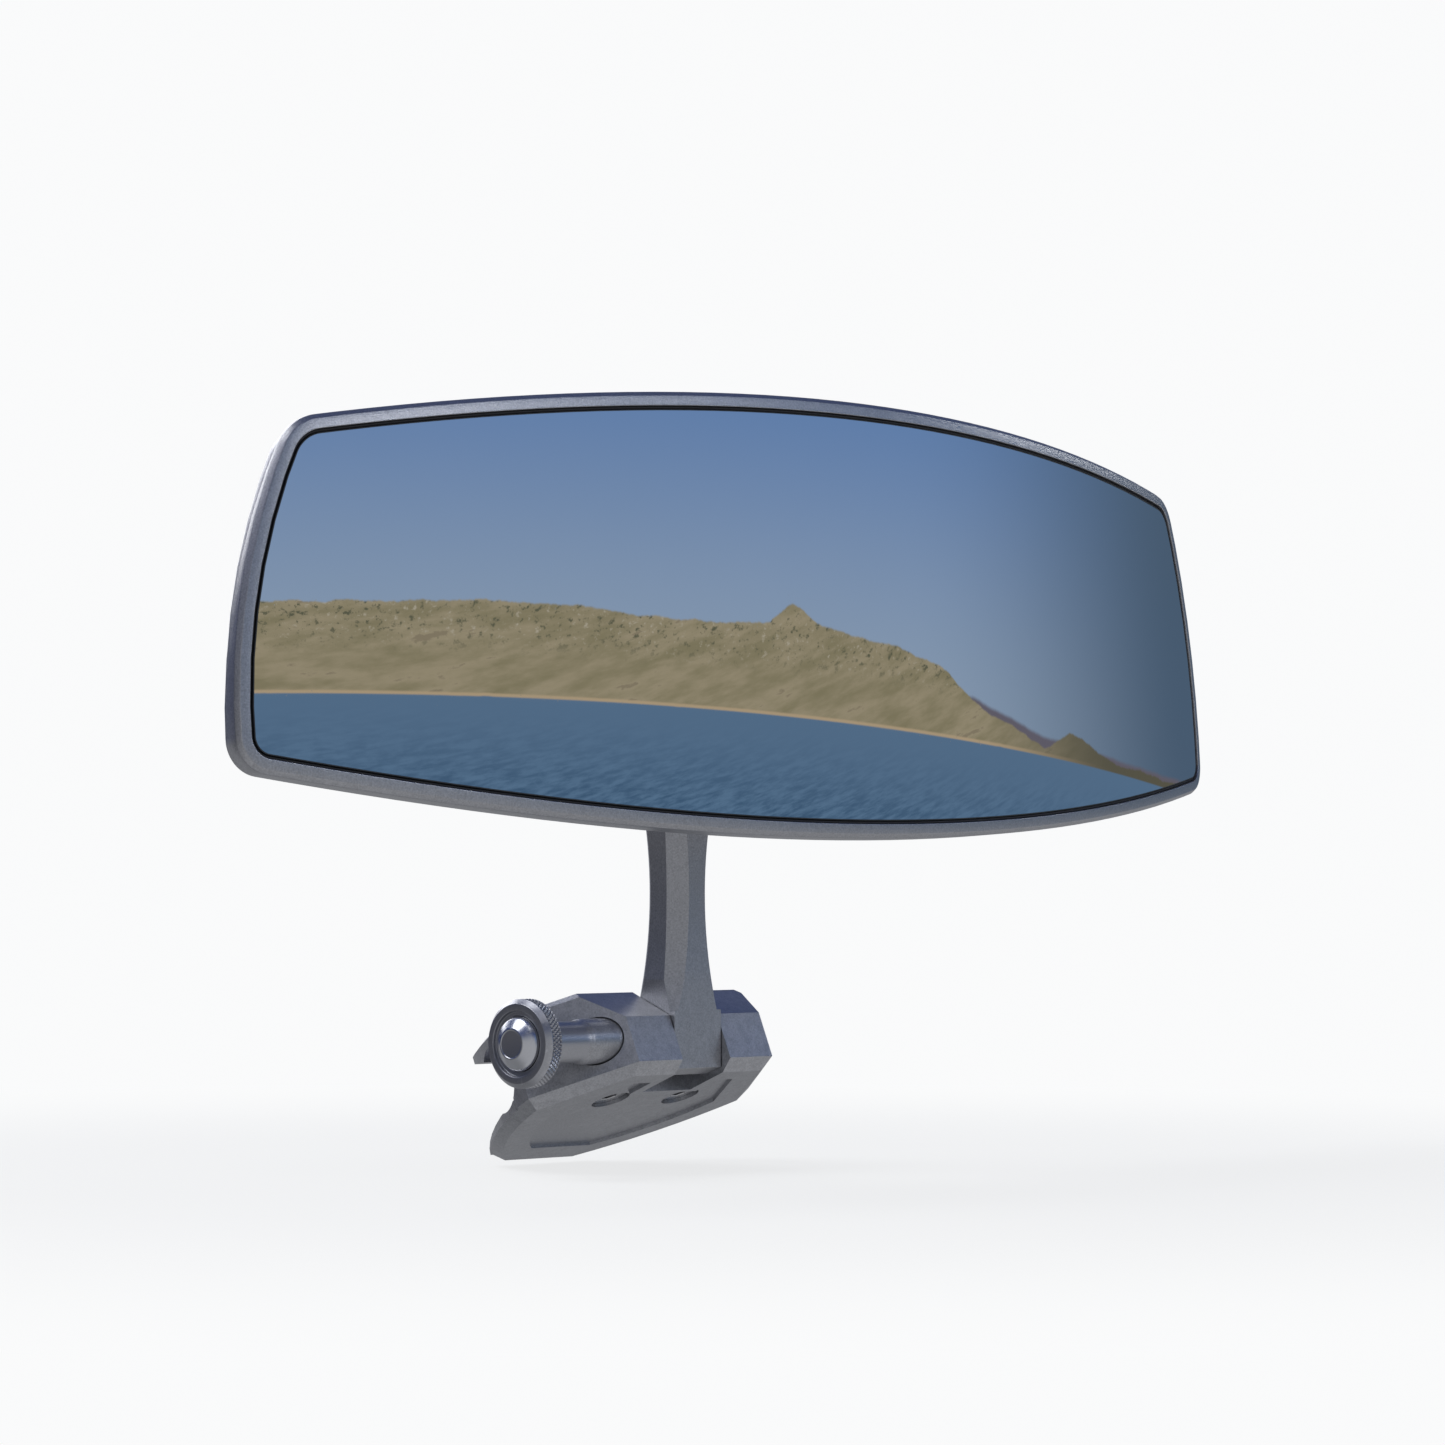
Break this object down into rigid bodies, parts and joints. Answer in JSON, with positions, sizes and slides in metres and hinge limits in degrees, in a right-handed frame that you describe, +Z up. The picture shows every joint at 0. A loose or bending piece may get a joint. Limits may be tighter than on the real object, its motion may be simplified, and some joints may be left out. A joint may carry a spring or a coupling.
{
  "type": "clamp-on panoramic rearview mirror",
  "caption": "Wide convex rearview mirror on a ball joint and a waisted folding arm, held on a windshield rail by a raked clamp bracket with a knurled knob.",
  "frame": {"origin": "centre of the clamped rail, midway along the pads", "axes": "+X along the rail, -Y toward the person who looks into the mirror, +Z up"},
  "size_m": [0.3938, 0.1244, 0.2088],
  "materials": {
    "satin_metal": "bead-blasted, hard-coated aluminium, satin",
    "mirror_face": "front-clear convex mirror",
    "seal_rubber": "black rubber, matte",
    "rail_rubber": "black rubber pad, slightly textured",
    "tape_foam": "closed-cell foam mounting tape",
    "backing_foam": "rigid closed-cell filler block",
    "steel_screws": "stainless screws, machined",
    "steel_stud": "polished stainless ball and shank",
    "nylon_liner": "natural nylon bearing shell",
    "bronze_bush": "plain bronze, oiled"
  },
  "bodies": {
    "base": {"base_block": "satin_metal", "clamp_plate": "satin_metal", "clamp_screws": "steel_screws", "rail_pad_upper": "rail_rubber", "rail_pad_lower": "rail_rubber", "threaded_insert": "bronze_bush", "friction_washers": "nylon_liner", "thrust_washer": "steel_screws"},
    "knob": {"knob": "satin_metal", "knob_cap": "satin_metal", "clamp_bolt": "steel_screws"},
    "arm": {"arm_post": "satin_metal", "pivot_bushing": "bronze_bush"},
    "stud": {"ball_stud": "steel_stud", "stud_washers": "steel_screws", "stud_nut": "steel_screws"},
    "liner": {"ball_liner_front": "nylon_liner", "ball_liner_rear": "nylon_liner"},
    "head": {"head_frame": "satin_metal", "mirror_glass": "mirror_face", "mirror_seal": "seal_rubber", "mirror_tape": "tape_foam", "foam_backing": "backing_foam", "back_cover": "satin_metal", "cover_screws": "steel_screws", "socket_housing": "satin_metal", "socket_screws": "steel_screws", "socket_cap": "satin_metal", "cap_screws": "steel_screws"}
  },
  "joints": [
    {"name": "knob_turn", "type": "hinge", "parent": "base", "child": "knob", "pos_m": [0, -0.03021, 0.01096], "axis": [1, 0, 0], "continuous": true},
    {"name": "arm_fold", "type": "hinge", "parent": "base", "child": "arm", "pos_m": [0, -0.03021, 0.01096], "axis": [1, 0, 0], "range_deg": [-25, 50]},
    {"name": "stud_roll", "type": "hinge", "parent": "arm", "child": "stud", "pos_m": [0, -0.06571, 0.12296], "axis": [0, 1, 0], "range_deg": [-12, 12]},
    {"name": "head_pan", "type": "hinge", "parent": "stud", "child": "liner", "pos_m": [0, -0.06571, 0.12296], "axis": [0, 0, 1], "range_deg": [-20, 20]},
    {"name": "head_tilt", "type": "hinge", "parent": "liner", "child": "head", "pos_m": [0, -0.06571, 0.12296], "axis": [1, 0, 0], "range_deg": [-15, 15]}
  ]
}
